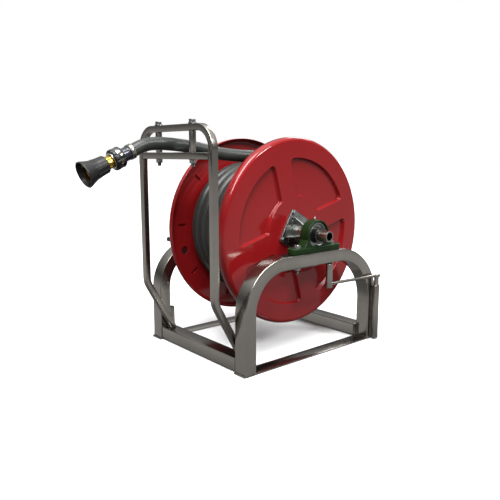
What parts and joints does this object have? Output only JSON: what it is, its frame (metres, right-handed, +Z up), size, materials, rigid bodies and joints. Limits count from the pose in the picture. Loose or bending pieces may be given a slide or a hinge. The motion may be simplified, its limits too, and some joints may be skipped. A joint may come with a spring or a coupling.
{
  "type": "fire hose reel",
  "caption": "Hand-wound fire hose reel on a welded tube stand, with pillow blocks, a front hose guide, a fog nozzle and a stowed crank.",
  "frame": {"origin": "on the floor, under the middle of the reel without its free hose and nozzle", "axes": "+X along the axle towards the water inlet, -Y towards the hose guide and nozzle, +Z up"},
  "size_m": [0.58, 0.9596, 0.7291],
  "materials": {
    "stand_steel": "satin",
    "zinc_steel": "satin zinc plate",
    "disc_red": "gloss",
    "block_green": "semi gloss",
    "brass": "polished",
    "hose_rubber": "matt",
    "black_plastic": "satin"
  },
  "bodies": {
    "root": {"right_arch": "stand_steel", "left_arch": "stand_steel", "right_foot_bar": "stand_steel", "left_foot_bar": "stand_steel", "front_cross_member": "stand_steel", "rear_cross_member": "stand_steel", "guide_frame": "stand_steel", "guide_lower_bar": "stand_steel", "crank_holder": "stand_steel", "holder_plate": "stand_steel", "front_socket": "stand_steel", "brake_bush": "stand_steel", "hose_ferrule": "stand_steel", "right_pin_washer": "zinc_steel", "left_pin_washer": "zinc_steel", "right_pin_bolt": "zinc_steel", "left_pin_bolt": "zinc_steel", "right_pin_nut": "zinc_steel", "left_pin_nut": "zinc_steel", "right_bearing_ring": "zinc_steel", "left_bearing_ring": "zinc_steel", "right_front_block_bolt": "zinc_steel", "right_front_block_nut": "zinc_steel", "right_rear_block_bolt": "zinc_steel", "right_rear_block_nut": "zinc_steel", "left_front_block_bolt": "zinc_steel", "left_front_block_nut": "zinc_steel", "left_rear_block_bolt": "zinc_steel", "left_rear_block_nut": "zinc_steel", "right_block_housing": "block_green", "left_block_housing": "block_green", "nozzle_body": "brass", "nozzle_stem": "brass", "grease_nipple": "brass", "hose_lead": "hose_rubber", "nozzle_tail": "black_plastic"},
    "drum": {"right_disc": "disc_red", "left_disc": "disc_red", "drum_core": "disc_red", "inlet_axle": "stand_steel", "crank_axle": "stand_steel", "feed_pipe": "stand_steel", "right_hub_plate": "zinc_steel", "left_hub_plate": "zinc_steel", "right_bearing_collar": "zinc_steel", "left_bearing_collar": "zinc_steel", "hub_bolt_1": "zinc_steel", "hub_bolt_2": "zinc_steel", "hub_bolt_3": "zinc_steel", "hub_bolt_4": "zinc_steel", "hose_coil": "hose_rubber"},
    "right_roller": {"right_pin_roller": "stand_steel"},
    "left_roller": {"left_pin_roller": "stand_steel"},
    "crank": {"crank": "zinc_steel", "crank_handle": "stand_steel"},
    "brake_foot": {"brake_pad": "black_plastic"},
    "brake_turn": {"brake_screw": "zinc_steel", "brake_knob": "black_plastic"},
    "coupling_ring": {"nozzle_coupling": "black_plastic"},
    "pattern_sleeve": {"nozzle_bumper": "black_plastic"}
  },
  "joints": [
    {"name": "drum_spin", "type": "hinge", "parent": "root", "child": "drum", "pos_m": [0, 0.035, 0.385], "axis": [1, 0, 0], "continuous": true},
    {"name": "right_roller_spin", "type": "hinge", "parent": "root", "child": "right_roller", "pos_m": [0.09, -0.323, 0.667], "axis": [0, 0, 1], "continuous": true},
    {"name": "left_roller_spin", "type": "hinge", "parent": "root", "child": "left_roller", "pos_m": [-0.09, -0.323, 0.667], "axis": [0, 0, 1], "continuous": true},
    {"name": "crank_swing", "type": "hinge", "parent": "root", "child": "crank", "pos_m": [0.2671, 0.302, 0.188], "axis": [0, 0, 1], "range_deg": [0, 180]},
    {"name": "brake_slide", "type": "slide", "parent": "root", "child": "brake_foot", "axis": [1, 0, 0], "range_m": [0, 0.0036]},
    {"name": "brake_knob_turn", "type": "hinge", "parent": "brake_foot", "child": "brake_turn", "pos_m": [-0.2, -0.174, 0.3318], "axis": [1, 0, 0], "range_deg": [0, 648]},
    {"name": "coupling_swivel", "type": "hinge", "parent": "root", "child": "coupling_ring", "pos_m": [0, -0.5116, 0.62017], "axis": [0, -0.9171, -0.3987], "continuous": true},
    {"name": "pattern_twist", "type": "hinge", "parent": "root", "child": "pattern_sleeve", "pos_m": [0, -0.57305, 0.59345], "axis": [0, -0.9171, -0.3987], "range_deg": [0, 180]}
  ],
  "couplings": [
    {"joint": "brake_knob_turn", "follows": "brake_slide", "rad_per_m": 3141.6}
  ]
}
